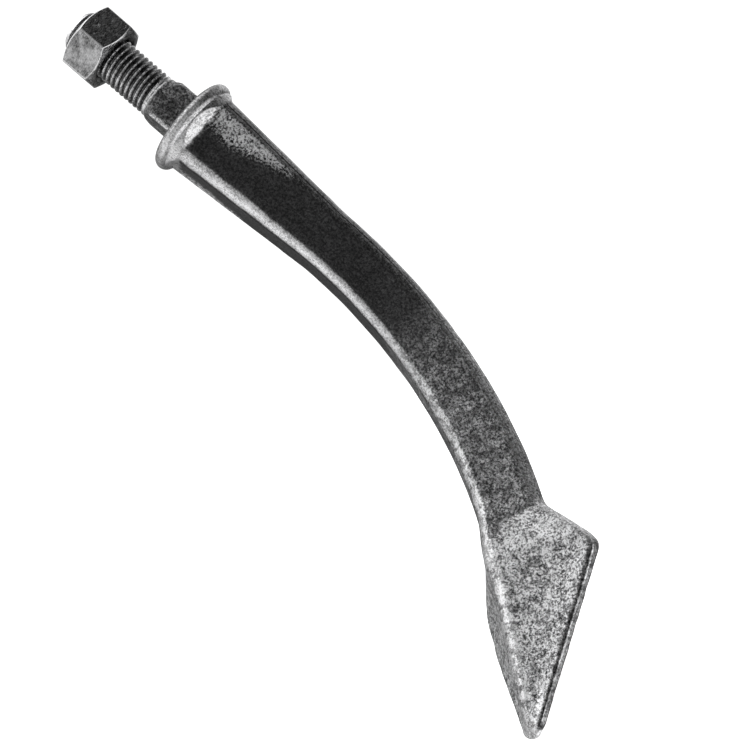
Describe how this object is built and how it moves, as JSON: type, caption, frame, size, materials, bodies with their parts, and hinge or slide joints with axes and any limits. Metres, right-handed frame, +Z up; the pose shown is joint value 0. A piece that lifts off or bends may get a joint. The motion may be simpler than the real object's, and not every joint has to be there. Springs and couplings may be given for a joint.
{
  "type": "bolt-on mixing tine",
  "caption": "Forged curved mixing tine with a square-necked threaded stud, round collar, spade-shaped point and a hex nut.",
  "frame": {"origin": "centre of the collar's seat face, on the stud's axis", "axes": "+Z up the stud; the tine hangs to -Z and curves towards +X; +Y towards one wing of the point"},
  "size_m": [0.168, 0.0644, 0.317],
  "materials": {
    "forged_steel": "dark forged scale, shot-blasted and handled, satin",
    "nut_steel": "oiled machined steel, satin"
  },
  "bodies": {
    "tine": {"tine_forging": "forged_steel"},
    "nut": {"hex_nut": "nut_steel"}
  },
  "joints": [
    {"name": "nut_travel", "type": "slide", "parent": "tine", "child": "nut", "axis": [0, 0, 1], "range_m": [-0.025, 0.0175]}
  ]
}
